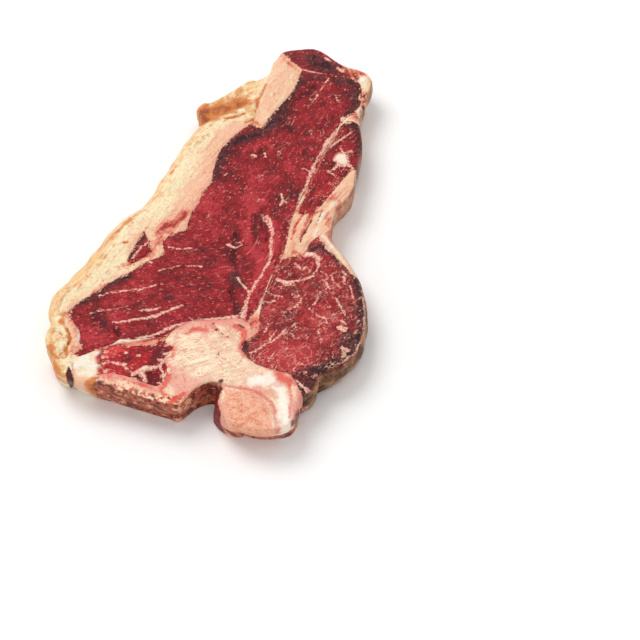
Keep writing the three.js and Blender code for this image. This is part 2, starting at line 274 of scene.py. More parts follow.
lean_rows = np.concatenate([outline_of(node, middle_height) for node in lean_nodes])
lean_inside = inside_field(lean_rows)
lean_field = distance_field(lean_rows) * np.where(lean_inside, 1, -1)
top_rows = {node: outline_of(node, top_height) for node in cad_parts}
top_inside = np.zeros_like(lean_inside)
for rows in top_rows.values():
    top_inside |= inside_field(rows)
rim_rows = []
for row in np.concatenate(list(top_rows.values())):
    middle = (row[:2] + row[2:]) / 2
    along = (row[2:] - row[:2]) / max(np.hypot(*(row[2:] - row[:2])), 1e-9)
    beside = np.array([middle + (along[1], -along[0]), middle - (along[1], -along[0])])
    i = np.round((beside[:, 0] - grid_x[0]) / grid_step).astype(int)
    j = np.round((beside[:, 1] - grid_y[0]) / grid_step).astype(int)
    if not top_inside[i, j].all():
        rim_rows.append(row)
rim_field = distance_field(rim_rows, 40) * np.where(top_inside, 1, -1)

copies = [node_copy(node, "part_of_slice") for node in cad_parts]
for copy in copies:
    move_to(copy.data, read(copy.data) + skin_swell * read(copy.data, "normal"))
slab = copies[0]
select_only(slab)
for copy in copies[1:]:
    copy.select_set(True)
bpy.ops.object.join()
slab.name = "slice"
apply_modifier(slab, "REMESH", mode="VOXEL", voxel_size=skin_step, adaptivity=0)
apply_modifier(slab, "SMOOTH", factor=0.5, iterations=10)

rows = read(slab.data)
out = read(slab.data, "normal")
x, y, z = (rows * 1000).T
flat_top = rise(z - 15, 3.5) * rise(out[:, 2] * 1.6 - 0.2, 1)
lumps = 0.22 * grain(x, y, 9, 1) + 0.14 * grain(x, y, 4.2, 2) + 0.07 * grain(x, y, 2, 3)
lean_here = look_up(lean_field, x, y)
border_dip = -0.28 * np.exp(-((lean_here / 1.3) ** 2)) + 0.12 * np.tanh(-lean_here / 3)
rows[:, 2] += (lumps + border_dip) * flat_top / 1000
side = 1 - rise(np.abs(out[:, 2]) * 1.5, 1)
ripple = 0.3 * grain(x + 0.6 * y, z * 1.4, 5, 4) + 0.14 * grain(x - 0.8 * y, z * 1.4, 2.2, 5)
rows[:, :2] += out[:, :2] * (ripple * side / 1000)[:, None]
rows[:, 2] = np.maximum(rows[:, 2], skin_lowest)
move_to(slab.data, rows)

corners = np.empty(len(slab.data.loops), np.int32)
slab.data.loops.foreach_get("vertex_index", corners)
slab_skin = BVHTree.FromPolygons(read(slab.data).tolist(), corners.reshape(-1, 4).tolist())


def cutter_for(node, grow):
    """A CAD node swollen past the slice's skin, and its seams moved out by grow."""
    cutter = node_copy(node, "cutter")
    mesh = cutter.data
    seams = {}
    for face in mesh.polygons:
        _, _, _, depth = slab_skin.find_nearest(face.center)
        if abs(face.normal.z) < 0.1 and depth > 0.0006:
            for vertex in face.vertices:
                found = seams.setdefault(vertex, [])
                if all(face.normal.dot(other) < 0.985 for other in found):
                    found.append(face.normal.copy())
    for vertex in mesh.vertices:
        _, normal, _, depth = slab_skin.find_nearest(vertex.co)
        step = Vector((0, 0, 0))
        if depth < 0.0014:
            level = Vector((normal.x, normal.y, 0))
            if abs(normal.z) > 0.3:
                step.z = math.copysign(0.003, normal.z)
            if level.length > 0.3:
                step += level.normalized() * 0.0015
        found = seams.get(vertex.index, [])
        if len(found) == 1:
            step += found[0] * grow
        elif len(found) > 1:
            step += (found[0] + found[1]) * grow / max(1 + found[0].dot(found[1]), 0.5)
        vertex.co += step
    mesh.update()
    return cutter


def cut_out(node, name):
    """The slice's part that a CAD node stands for, cut out of what is left of the slice."""
    piece = bpy.data.objects.new(name, slab.data.copy())
    bpy.context.collection.objects.link(piece)
    for target, operation, grow in (
        (piece, "INTERSECT", seam_close),
        (slab, "DIFFERENCE", seam_close + seam_left),
    ):
        cutter = cutter_for(node, grow)
        apply_modifier(target, "BOOLEAN", operation=operation, object=cutter, solver="MANIFOLD")
        bpy.data.objects.remove(cutter)
    return piece


# Bone
# The half vertebra: its sawn body at the front right, the arch that rises to the muscles and the
# bar of the spine to the left. It was sawn with the slice, so saw marks run across it.
wet_shine = 0.27


class Look:
    """A material, built node by node. Sizes are in mm."""

    def __init__(self, name):
        self.material = bpy.data.materials.new(name)
        self.material.use_nodes = True
        self.tree = self.material.node_tree
        self.shader = self.tree.nodes["Principled BSDF"]
        self.here = self.node("TexCoord")["Object"]

    def node(self, kind, inputs=(), **settings):
        made = self.tree.nodes.new("ShaderNode" + kind)
        for key, value in settings.items():
            setattr(made, key, value)
        for key, value in dict(inputs).items():
            if isinstance(value, bpy.types.NodeSocket):
                self.tree.links.new(value, made.inputs[key])
            else:
                made.inputs[key].default_value = value
        return made.outputs

    def calc(self, operation, a, b=0.0):
        return self.node("Math", {0: a, 1: b}, operation=operation)[0]

    def times(self, a, b):
        return self.calc("MULTIPLY", a, b)

    def total(self, *parts):
        """The sum of values, each given as (value, share)."""
        result = 0.0
        for value, share in parts:
            inputs = {0: value, 1: share, 2: result}
            result = self.node("Math", inputs, operation="MULTIPLY_ADD")[0]
        return result

    def field(self, name):
        return self.node("Attribute", attribute_name=name)["Fac"]

    def ragged(self, name, offset, *noises):
        """A field's value with an offset and noises added, which make its edge ragged."""
        return self.total((self.field(name), 1), *noises, (offset, 1))

    def turned(self, angle, stretch):
        """Coordinates turned to run along a direction and drawn out along it."""
        inputs = {"Vector": self.here, "Angle": math.radians(-angle)}
        turn = self.node("VectorRotate", inputs)["Vector"]
        return self.node("VectorMath", {0: turn, 1: (1 / stretch, 1, 1)}, operation="MULTIPLY")[0]

    def noise(self, size, detail=2.0, rough=0.5, at=None, warp=0.0):
        """Read at the given coordinates, or at the piece's own ones shifted by a number."""
        if isinstance(at, float):
            at = self.node("VectorMath", {0: self.here, 1: (at, at, 0)}, operation="ADD")[0]
        inputs = {"Vector": at or self.here, "Scale": 1000 / size, "Detail": detail, "Roughness": rough}
        inputs["Distortion"] = warp
        return self.node("TexNoise", inputs)["Fac"]

    def step(self, value, low, high):
        inputs = {"Value": value, "From Min": low, "From Max": high}
        return self.node("MapRange", inputs, interpolation_type="SMOOTHSTEP")["Result"]

    def lines(self, size, width, at=None, warp=0.0):
        """Thin winding lines, where a noise passes its middle."""
        away = self.calc("ABSOLUTE", self.calc("SUBTRACT", self.noise(size, 3, 0.55, at, warp), 0.5))
        return self.step(away, width, width * 0.2)

    def mix(self, share, a, b, amount=1.0):
        """Colour b over colour a. Colours may be given in 0 to 255."""
        a, b = (srgb(*c) if isinstance(c, tuple) else c for c in (a, b))
        if amount != 1.0:
            share = self.times(share, amount)
        return self.node("Mix", {0: share, 6: a, 7: b}, data_type="RGBA")[2]

    def over(self, colour, value, low, high, tone, amount=1.0):
        """A tone laid over a colour where a value rises from low to high."""
        return self.mix(self.step(value, low, high), colour, tone, amount)

    def finish(self, colour, roughness, heights):
        """Colour, roughness, and bumps given as (height, depth in mm), the coarsest first."""
        self.tree.links.new(colour, self.shader.inputs["Base Color"])
        self.tree.links.new(roughness, self.shader.inputs["Roughness"])
        normal = None
        for height, depth in heights:
            inputs = {"Height": height, "Distance": depth / 1000, "Strength": 1.0}
            if normal:
                inputs["Normal"] = normal
            normal = self.node("Bump", inputs)["Normal"]
        self.tree.links.new(normal, self.shader.inputs["Normal"])
        self.shader.inputs["Specular IOR Level"].default_value = wet_shine
        return self.material


def write_field(piece, name, values):
    field = piece.data.attributes.new(name, "FLOAT", "POINT")
    field.data.foreach_set("value", np.asarray(values, np.float32))


def dent(piece, lines):
    """Sinks the cut face along lines: (reach, depth, points). A depth below zero raises it."""
    rows = read(piece.data)
    x, y, z = (rows * 1000).T
    for reach, depth, points in lines:
        away, _ = near_line(x, y, points)
        rows[:, 2] -= depth * np.exp(-((away / reach) ** 2)) * rise(z - 13, 4) / 1000
    move_to(piece.data, rows)


def paint(piece, **marks):
    """Writes a piece's fields. Lines' fields are 3 mm on the line's edge and fall to 0 outside,
    soft marks' fields run from 0 to 1, and numbers and rows are written as they are. Pale and
    deep marks together make the field shade."""
    x, y, z = places(piece)
    up = np.abs(read(piece.data, "normal")[:, 2])
    rim = look_up(rim_field, x, y)
    write_field(piece, "rim", rim + np.minimum(z - 18, 0))
    write_field(piece, "wall", 1 - rise(up - 0.3, 0.4))
    lean = look_up(lean_field, x, y)
    if marks.pop("meat", 0):
        lean = np.where(rim < 0.3, np.maximum(lean, 3), lean)
    write_field(piece, "lean", lean)
    u = x + 0.5 * grain(x, y, 3, 21) + 0.3 * grain(x, y, 1.4, 22)
    v = y + 0.5 * grain(x, y, 3, 23) + 0.3 * grain(x, y, 1.4, 24)
    marks["shade"] = glow(u, v, marks.pop("pale", [])) - glow(u, v, marks.pop("deep", []))
    for name in ("vein", "dark", "dry", "blood", "tan", "marble", "skin", "turn"):
        marks.setdefault(name, 0.0)
    for name, value in marks.items():
        if name in ("vein", "dark") and isinstance(value, list):
            value = np.maximum(3 - lines_field(u, v, value), 0)
        elif isinstance(value, list):
            value = glow(u, v, value)
        write_field(piece, name, np.broadcast_to(value, x.shape))


def complete(piece, node, material):
    """Smooths a finished piece, gives it its material and its body, and hides the CAD node it stands for.
    """
    piece.data.materials.clear()
    piece.data.materials.append(material)
    select_only(piece)
    bpy.ops.object.shade_smooth_by_angle(angle=math.radians(60))
    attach(piece, "root")
    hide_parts(node)


body_line = [(9.5, -113), (20, -114.5), (28, -118.5), (32.5, -126), (34, -143), (9, -143)]
arc_line = [
    (7, -109.1), (14, -110.6), (22, -112.6), (28.5, -115.9), (32.8, -119.9), (35.6, -125.8), (37, -139),
]
bar_line = [(-60, -109), (-54, -112), (-47, -114), (-38, -117), (-28, -119.5), (-18, -121)]
cartilage = [
    (4.5, 6, [(23, -107.6), (27.5, -105.6), (33, -105.4)]),
    (5.5, 6, [(37.3, -110.5), (39.8, -116.5), (40.8, -124), (40.6, -134)]),
]
bone_blood = [
    (3.6, 1, [(37.7, -103.6), (41.5, -106.4)]),
    (2.2, 0.75, [(-12.3, -73.8), (-9.7, -71.4), (-5.9, -71), (-2.6, -72.6)]),
    (2.2, 0.6, [(-17.5, -80.5), (-19.5, -84), (-20.5, -90)]),
    (2.2, 0.95, [(13.5, -69.5), (17.5, -70.5), (18.5, -77), (17, -83)]),
    (1.6, 0.75, [(20, -89), (27, -93), (33, -97), (38, -101)]),
    (2.4, 0.7, [(-25.5, -110.5), (-23, -107), (-22.5, -103)]),
    (2, 0.45, [(36, -109.5), (38.2, -109)]),
    (2.2, 0.6, [(-56, -103.5), (-47, -104.5)]),
    (1.6, 0.6, [(1.2, -69), (4, -72.5)]),
    (1.6, 0.6, [(6.3, -76.6), (9.5, -75.9)]),
    (1.9, 0.8, [(-20.5, -121), (-17.4, -117.7), (-13.2, -115.1)]),
    (1.5, 0.6, [(-45.2, -105.7), (-37, -108.4), (-31.5, -111.1), (-23.4, -115.1)]),
    (1.8, 0.7, [(5.4, -107), (4.2, -119), (4.0, -127)]),
    (1.2, 0.7, [(43, -108), (43.8, -118), (43.4, -130)]),
]
bone_tan = [
    (3.6, 0.9, [(-58.9, -108.7), (-54, -111.5)]),
    (1.2, 0.8, [(15.5, -68.5), (18.5, -69.5)]),
    (3, 0.7, [(-42, -119.7), (-33.8, -121.4)]),
    (2, 0.9, [(43.6, -138.4), (47, -131), (48.5, -124)]),
    (1.7, 0.9, [(6.4, -106.5), (5.6, -112), (5.0, -117)]),
    (0.8, 0.85, [(2.9, -71.1), (2.2, -72.0)]),
    (0.8, 0.9, [(5.6, -73.8), (6.8, -74.4)]),
    (0.8, 0.8, [(9.5, -75.9), (9.9, -76.8)]),
    (0.7, 0.7, [(1.7, -67.6), (0.9, -67.3)]),
    (0.7, 0.7, [(4.2, -87.2), (4.6, -89.6)]),
]
bone = cut_out("bone", "t_bone")
x, y, z = places(bone)
crust = glow(x, y, [(6.0, 1.0, bar_line), (4, 0.8, [(-30, -84), (-28, -92), (-24, -100)])])
rows = read(bone.data)
crumbs = 0.5 * grain(x, y, 2.6, 11) + 0.35 * grain(x, y, 1.3, 12)
rows[:, 2] += crumbs * crust * rise(z - 13, 4) / 1000
move_to(bone.data, rows)
dent(bone, [(0.9, 0.4, arc_line), (2.5, 0.5, [(-9, -73), (-5, -73)]), (1.6, 0.6, [(3, -71), (8, -76)])])
x, y, z = places(bone)
body_away, _ = near_line(x, y, body_line + body_line[:1])
body_rows = np.array([[*a, *b] for a, b in zip(body_line, body_line[1:] + body_line[:1])])
body = body_away * np.where(look_up(inside_field(body_rows).astype(float), x, y) > 0.5, 1, -1)
paint(
    bone, body=body, arc=np.maximum(3 - lines_field(x, y, [(0.9, 1.1, arc_line)]), 0), vein=cartilage,
    blood=bone_blood, tan=bone_tan, crust=crust,
    sawn=[(12, 1.0, [(-15, -86), (-4, -91)]), (10, 0.55, [(4, -96), (16, -100)])],
    left_side=rise(9 - x, 2) * rise(x - 1, 1.5) * rise(-106 - y, 4) * rise(y + 131, 5),
    front=rise(z - 7, 3) * rise((x - 8) / 3 + (-y - 124) / 3, 1) * rise(-108 - y, 5),
)

look = Look("sawn_bone")
fine = look.noise(1.1, 3, 0.6)
middle = look.noise(4.5, 3, 0.55, 0.31)
broad = look.noise(13, 2, 0.5, 0.5)
sawn = look.noise(1.0, 3, 0.6, look.turned(21, 18))
colour = look.mix(look.step(middle, 0.38, 0.62), (236, 184, 156), (252, 227, 196))
colour = look.over(colour, broad, 0.46, 0.6, (236, 160, 142), 0.85)
grooves = look.times(look.field("sawn"), look.step(sawn, 0.53, 0.62))
colour = look.mix(look.field("sawn"), colour, (254, 233, 198), 0.75)
colour = look.mix(grooves, colour, (206, 142, 106), 0.65)
bands = look.step(look.noise(3.4, 2, 0.5, look.turned(21, 7)), 0.54, 0.64)
colour = look.mix(look.times(look.field("sawn"), bands), colour, (255, 240, 206), 0.7)
ridges = look.times(look.field("sawn"), look.step(sawn, 0.46, 0.38))
colour = look.mix(ridges, colour, (255, 244, 216), 0.8)
colour = look.over(colour, look.total((fine, 1), (middle, 0.6)), 0.86, 0.98, (218, 134, 112), 0.75)
edge = look.ragged("lean", -5.5, (broad, 9), (middle, 6), (fine, 3))
colour = look.over(colour, edge, 0.2, 4.6, (226, 128, 118), 0.75)
colour = look.mix(look.lines(18, 0.012, 0.63, 0.7), colour, (206, 106, 96), 0.5)
pores = look.noise(0.8, 2, 0.6, 0.2)
spongy = look.mix(look.step(middle, 0.38, 0.62), (228, 142, 108), (244, 176, 144))
spongy = look.over(spongy, pores, 0.5, 0.62, (250, 204, 172), 0.7)
spongy = look.over(spongy, pores, 0.42, 0.34, (206, 112, 82), 0.7)
spongy = look.mix(look.lines(8, 0.014, 0.35, 0.9), spongy, (206, 112, 84), 0.6)
inside = look.ragged("body", -2.5, (middle, 5))
colour = look.over(colour, inside, -1.4, 1.0, spongy)
arc = look.ragged("arc", -2.7, (fine, 3.0), (middle, 2.4))
colour = look.over(colour, arc, 1.6, 3.4, (214, 98, 80), 0.7)
white = look.ragged("vein", -5.5, (middle, 8), (fine, 3))
colour = look.over(colour, white, 0.4, 5.0, (255, 242, 226))
crusty = look.mix(look.step(look.noise(2.6, 3, 0.6), 0.48, 0.6), (252, 212, 178), (216, 112, 92))
crusty = look.over(crusty, look.noise(4, 3, 0.6, 0.7), 0.53, 0.62, (138, 62, 50))
crust_here = look.ragged("crust", -0.7, (middle, 1.4))
colour = look.over(colour, crust_here, 0.35, 0.75, crusty)
blood = look.ragged("blood", -1.2, (middle, 1.6), (fine, 0.8))
colour = look.over(colour, blood, 0.1, 0.95, (222, 80, 66), 0.9)
tan = look.ragged("tan", -0.6, (middle, 1.2))
colour = look.over(colour, tan, 0.3, 0.85, (104, 44, 40))
stripes = look.noise(3.8, 3, 0.65)
side = look.mix(look.step(stripes, 0.4, 0.58), (112, 40, 28), (188, 100, 72))
side = look.over(side, look.noise(6, 3, 0.65, 0.9), 0.53, 0.62, (236, 168, 134))
side = look.mix(look.field("left_side"), side, (118, 14, 22), 0.9)
wall = look.times(look.field("wall"), look.calc("SUBTRACT", 1.0, look.field("front")))
wall = look.total((wall, 1), (middle, 0.9), (-0.45, 1))
colour = look.over(colour, wall, 0.3, 0.7, side)
roughness = look.total((fine, 0.25), (0.32, 1))
complete(bone, "bone", look.finish(colour, roughness, [(middle, 0.8), (sawn, 0.5), (fine, 0.4)]))

# Strip loin
# The large muscle. A white seam runs up through it, a vein of fat crosses its lower end, and its
# edge along the outer fat has dried dark.
def tissue(
    name, tones, angles=(5, 5), fibres=0.5, marbling=(0.72, 0.78, 0.0), streaks=(50, 0.3), walls=None
):
    """Raw muscle with its marbling, and fat where the fields say so. Angles are the fibres'
    directions where the field turn is 0 and 1. Marbling is the levels of noise where flecks and
    threads begin, and the strength of the pale haze. Streaks are the fat's direction and strength."""
    look = Look(name)
    fine = look.noise(1.1, 3, 0.65)
    middle = look.noise(4.5, 2, 0.55, 0.31)
    broad = look.noise(15, 2, 0.5, 0.57)
    turn = look.field("turn")
    along = [look.turned(angle, 6) for angle in angles]
    drawn = [look.noise(1.1, 3, 0.6, at) for at in along]
    drawn = look.node("Mix", {0: turn, 2: drawn[0], 3: drawn[1]})[0]
    gentle = [look.turned(angle, 1.6) for angle in angles]
    gentle = look.node("Mix", {0: turn, 4: gentle[0], 5: gentle[1]}, data_type="VECTOR")[1]

    dark_tone, medium_tone, light_tone = tones
    shade = look.total((look.field("shade"), 0.2), (-0.66 - fibres / 2, 1))
    tone = look.total((fine, 0.5), (middle, 0.42), (broad, 0.4), (drawn, fibres), (shade, 1))
    meat = look.mix(look.step(tone, -0.13, 0.0), dark_tone, medium_tone)
    meat = look.over(meat, tone, 0.02, 0.15, light_tone)
    # Painted glints: small pale pink specks along the fibres stand in for highlights on the wet meat.
    painted_glints = look.step(look.noise(1.2, 1, 0.5, gentle), 0.63, 0.72)
    meat = look.mix(painted_glints, meat, (240, 138, 130), 0.62)
    specks = look.step(look.noise(1.8, 2, 0.5, 0.8), 0.37, 0.3)
    meat = look.mix(specks, meat, (78, 2, 10), 0.5)

    flecks = look.step(look.noise(2.8, 2, 0.5, gentle), marbling[0], marbling[0] + 0.04)
    threads = look.lines(6, 0.016, gentle, 0.6)
    where = look.noise(9, 1, 0.5, 0.77)
    threads = look.times(threads, look.step(where, marbling[1] - 0.2, marbling[1] - 0.1))
    white = look.times(look.calc("MAXIMUM", flecks, threads), look.field("marble"))
    near_vein = look.ragged("vein", -1.75, (fine, 2.0), (middle, 1.5))
    vein = look.step(near_vein, 2.5, 3.3)
    strand = look.mix(look.step(fine, 0.4, 0.62), (226, 128, 116), (252, 210, 186))
    strand = look.over(strand, look.field("vein"), 3.7, 4.9, (254, 232, 212))
    if marbling[2]:
        haze = look.lines(9, 0.05, 0.11, 0.8)
        haze = look.times(haze, look.step(look.total((fine, 0.6), (middle, 0.5)), 0.48, 0.64))
        haze = look.times(haze, look.field("marble"))
        meat = look.mix(haze, meat, (228, 150, 136), marbling[2])
        # Painted glints: fine pink specks where the meat is marbled stand in for small highlights on the
        # wet meat.
        glint_speckle = look.step(look.noise(0.9, 2, 0.6, 0.15), 0.52, 0.66)
        glint_speckle = look.times(glint_speckle, look.field("marble"))
        meat = look.mix(glint_speckle, meat, (218, 118, 110), marbling[2] * 0.8)
    meat = look.mix(white, meat, strand)
    dry = look.ragged("dry", -0.85, (fine, 1.0), (middle, 0.7))
    dry = look.step(dry, 0.3, 0.75)
    crust = look.mix(look.step(middle, 0.4, 0.58), (44, 12, 20), (92, 34, 38))
    flakes = look.noise(2, 3, 0.6, 0.2)
    crust = look.over(crust, flakes, 0.56, 0.66, (142, 96, 80), 0.8)
    meat = look.mix(dry, meat, crust, 0.92)
    bits = look.step(look.noise(2.4, 2, 0.6, gentle), 0.58, 0.66)
    bits = look.times(bits, look.times(dry, 2 * marbling[2]))
    meat = look.mix(bits, meat, (226, 178, 148))
    meat = look.mix(vein, meat, strand)

    skin = look.ragged("skin", -0.25, (middle, 0.5))
    fat = look.mix(look.step(skin, 0.0, 0.26), (248, 170, 144), (249, 194, 158))
    fat = look.over(fat, skin, 0.28, 0.52, (254, 236, 192))
    fat = look.over(fat, skin, 0.6, 0.85, (246, 196, 128))
    streak = look.noise(1.5, 3, 0.6, look.turned(streaks[0], 10))
    fat = look.over(fat, streak, 0.52, 0.64, (206, 116, 84), streaks[1])
    fat = look.over(fat, streak, 0.46, 0.36, (253, 236, 208), streaks[1])
    fat = look.over(fat, fine, 0.53, 0.68, (252, 232, 206), 0.5)
    blush = look.noise(2.3, 3, 0.6, 0.91)
    fat = look.over(fat, blush, 0.54, 0.68, (236, 156, 116), 0.4)
    flat = look.node("VectorMath", {0: look.here, 1: (0.22, 0.22, 0)}, operation="MULTIPLY")[0]
    layer = look.node("CombineXYZ", {2: look.times(look.field("rim"), 0.001)})[0]
    layer = look.node("VectorMath", {0: flat, 1: layer}, operation="ADD")[0]
    wrinkle = look.noise(1.7, 3, 0.6, layer, 0.2)
    outer = look.step(skin, 0.42, 0.75)
    fat = look.mix(look.times(outer, look.step(wrinkle, 0.52, 0.64)), fat, (214, 142, 78), 0.7)
    fat = look.mix(look.times(outer, look.step(wrinkle, 0.44, 0.36)), fat, (252, 226, 178), 0.7)
    tan = look.ragged("tan", -0.7, (middle, 0.9), (fine, 0.5))
    fat = look.over(fat, tan, 0.15, 0.55, (220, 134, 68))
    fat = look.over(fat, tan, 0.6, 1.0, (150, 70, 34))
    blood = look.ragged("blood", -1.9, (middle, 1.2), (streak, 1.2), (fine, 1.4))
    fat = look.over(fat, blood, 0.1, 0.55, (232, 112, 92), 0.75)
    fat = look.over(fat, blood, 0.5, 1.0, (160, 24, 26), 0.9)
    white = look.mix(look.step(middle, 0.4, 0.6), (251, 228, 192), (255, 243, 224))
    fat = look.over(fat, near_vein, 1.4, 4.4, white)
    if walls:
        side = look.mix(look.step(look.noise(2.5, 3, 0.65, 0.6), 0.4, 0.6), *walls)
        film = look.total((look.noise(16, 3, 0.6, 0.44), 1), (fine, 0.2))
        side = look.over(side, film, 0.53, 0.68, (206, 146, 104), 0.75)
        meat = look.mix(look.field("wall"), meat, side)
        patches = look.total((look.noise(9, 3, 0.6, 0.27), 1), (fine, 0.3), (-0.15, 1))
        patches = look.step(patches, 0.36, 0.5)
        fat = look.mix(look.times(patches, look.field("wall")), fat, side, 0.85)

    lean = look.ragged("lean", -4.6, (middle, 5), (fine, 4.2))
    colour = look.mix(look.step(lean, -0.3, 0.3), fat, meat)
    # Painted shade: the pits, cracks, splits and holes listed as dark are painted dark red for the shade
    # inside them, besides their dents.
    pit_shade = look.ragged("dark", -1.0, (fine, 2.0))
    colour = look.over(colour, pit_shade, 2.7, 3.3, (84, 14, 22))

    roughness = look.total((look.noise(3, 2, 0.6, 0.4), 0.3), (dry, 0.25), (0.17, 1))
    heights = [(middle, 1.3), (wrinkle, 0.5), (drawn, 1.2 * fibres), (fine, 0.8)]
    return look.finish(colour, roughness, heights)


def marks_on(lines, reach, strength):
    """Marks of one reach and strength, laid along the points of other lines."""
    return [(reach, strength, points) for _, _, points in lines]


sheet = [
    (4.2, 3.4, [(73.4, 82.6), (75.4, 81.0)]),
    (0.8, 1.8, [(72, 80), (67.6, 72.1), (65.4, 68)]),
    (3, 1.3, [(64.6, 67), (62.4, 61.3), (60.4, 56.4)]),
    (1, 1.1, [(60.2, 56.4), (57.6, 51.4), (54, 40.8), (51, 31), (47.6, 21.3)]),
    (1, 1.2, [(37, -35), (31, -44), (27.6, -50.9), (25.6, -59.3)]),
]
strip_white = sheet + [
    (1.8, 1.1, [(29.9, 10.2), (31.7, 3.7), (32.6, -3.6), (31.9, -10.8), (32.4, -18.1), (31, -24)]),
    (1.2, 1, [(31, -24), (28.7, -29.3), (26.3, -35), (23.6, -40.4), (21, -45.3)]),
    (1.1, 2, [(21, -45.3), (19.4, -50.9), (18.7, -56.2), (18, -63.1), (16.5, -67)]),
    (0.6, 0.9, [(26.5, 12), (29, 6), (31, 2)]),
    (1, 0.6, [(20, -45), (15.5, -38.5), (14, -35)]),
    (1.2, 1.6, [(-15.6, -54.8), (-21.3, -57.2), (-27, -59.7), (-32.1, -61.9)]),
    (2.2, 1.2, [(-32.1, -61.9), (-37.5, -63.1)]),
    (1.2, 0.6, [(-37.5, -63.1), (-43.6, -64.5), (-49, -65.9), (-53.7, -66.6)]),
    (0.8, 0.7, [(-28.2, -56.5), (-33.6, -57.6), (-39.1, -57.9)]),
    (0.9, 0.6, [(7.9, -10.8), (10.4, -13), (13.2, -13.4), (15.7, -11.9), (14, -10.3)]),
    (0.7, 0.6, [(-24.8, -13.9), (-18.6, -14.3), (-11.6, -13.5)]),
    (1.6, 1, [(37.3, 25.9), (38.6, 21.3), (40.4, 19.4)]),
    (0.9, 1.2, [(36.9, 17.2), (38.6, 21.3)]),
    (0.8, 0.6, [(49.5, 45.3), (54.5, 42.8), (58.1, 44.7)]),
    (0.3, 0.6, [(64.2, 115), (61.6, 109), (59.2, 104.9)]),
    (0.5, 0.2, [(58.2, 101.9), (55.9, 97.9), (52.5, 92)]),
    (1.3, 1, [(20.1, 56.2), (22.9, 55.6)]),
    (1.2, 1.2, [(27.2, 57.1), (28, 54.8)]),
    (0.8, 0.8, [(5.4, 40), (6.2, 41)]),
    (0.8, 1.3, [(-43.5, -24), (-38, -22.6), (-34.5, -24.5)]),
    (0.4, 0.5, [(-62, -48), (-52, -44.5), (-40, -43), (-30, -40)]),
    (0.3, 0.4, [(-30, -30), (-18, -27), (-6, -27)]),
    (0.4, 0.3, [(-66, -60), (-55, -56.5), (-46, -55)]),
    (1, 1.8, [(-40, -77), (-28, -74), (-19.4, -68.7), (-12.7, -67)]),
    (1.8, 1.4, [(-12.7, -67), (-4.4, -64.8), (6.7, -63.4), (15, -61.7)]),
    (0.8, 0.4, [(-8, -66), (-12, -63.5)]),
    (1, 0.5, [(17, -66), (16, -60), (18, -56)]),
]
strip_pits = [
    (3, 1.8, [(41.4, 77.4), (43.6, 74.5)]),
    (1, 0.6, [(13.3, -3), (13.9, -8.1)]),
    (0.8, 1, [(12.4, -16.8), (11.6, -23.3)]),
    (1.6, 1.2, [(-50.5, -71.8), (-49.5, -75.6)]),
    (0.5, 0.5, [(26.4, 13.9), (27.3, 6), (27, -0.8)]),
    (0.6, 0.4, [(8.9, -34), (9.5, -41), (11, -46)]),
    (1.2, 0.6, [(-46, -17), (-42, -15)]),
]
strip_dry = [
    (3, 1, [(1.1, 53.3), (3.5, 60), (7.7, 64.4), (14.8, 68.6), (22, 71), (28, 74.1), (30.9, 78.7)]),
    (3.6, 0.9, [(30.9, 78.7), (34.1, 86.1), (37.7, 92), (40.5, 98.9), (43.7, 105.9), (47, 113.8)]),
    (2, 0.8, [(-2, 34), (-0.5, 44), (1.1, 53.3)]),
    (6, 0.62, [(71.2, 113.8), (78.6, 110.8), (81.4, 104.9), (80.6, 95), (78, 88)]),
    (3, 0.95, [(-72.2, -52.7), (-65.6, -47.4), (-59.1, -42.2), (-52.4, -36.9), (-47, -33.3)]),
    (3.6, 0.7, [(11.1, -33.3), (13.9, -37.7), (16.8, -40.4)]),
    (3.5, 0.5, [(-58, -63.1), (-56.8, -72.6)]),
    (2.5, 0.5, [(26.4, 13.9), (27.3, -0.8)]),
    (5, 0.5, [(38, 82), (43, 76)]),
    (2.5, 0.6, [(50, 118), (62, 114)]),
]
strip_furrows = [
    (2.4, 0.9, [(24, 10.2), (22.5, 0.6), (24.9, -11.7)]),
    (1.6, 1, [(12.3, -2.5), (10.6, -18.7), (13.4, -32.8), (10.6, -46.8), (15, -60.9)]),
    (1.2, 0.6, [(26.2, 61), (23.3, 52)]),
    (1.2, 0.7, [(28, 10), (29.6, 0), (29.6, -8)]),
    (4, 0.6, [(-64, -62), (-58, -68), (-52, -72)]),
    (2.2, 0.6, [(38, 84), (46, 98), (56, 108)]),
]
# Deep marks: a deeper red inside the dried edges, and painted shade along the furrows, which are also
# dented.
strip_halo_and_furrow_shade = marks_on(strip_dry[:5], 5, 0.65) + strip_furrows
strip_pale = [
    (4, 1, [(30, -28), (27.4, -33.3), (24.8, -43.9), (22.3, -54.4)]),
    (8, 0.3, [(5.4, 36.2), (0.1, 21.3), (-5.1, 2.8)]),
    (5, 0.6, [(21.2, 44.1), (19.5, 12), (19.2, -8), (26, -20)]),
    (2.6, 1, [(30, 10), (33, 2), (33.6, -6), (32.9, -18)]),
    (4, 0.7, [(42.3, 54), (41, 46)]),
    (4, 0.7, [(-68, -69), (-66, -76)]),
]
strip = cut_out("strip_loin", "strip_loin_piece")
dent(strip, marks_on(strip_pits, 1.5, 0.9) + marks_on(strip_white, 0.9, -0.2))
dent(strip, marks_on(strip_furrows, 2.0, 0.6))
x, y, _ = places(strip)
paint(
    strip, meat=1, vein=strip_white, dark=strip_pits, dry=strip_dry, skin=0.12,
    deep=strip_halo_and_furrow_shade, pale=strip_pale,
    marble=0.8 * np.clip(0.45 + y / 60, 0.2, 1), turn=rise(y + 0.5 * x + 22, 30),
)
red = ((90, 0, 8), (148, 4, 18), (188, 46, 54))
complete(strip, "strip_loin", tissue("strip_meat", red, (12, 58), 0.4))

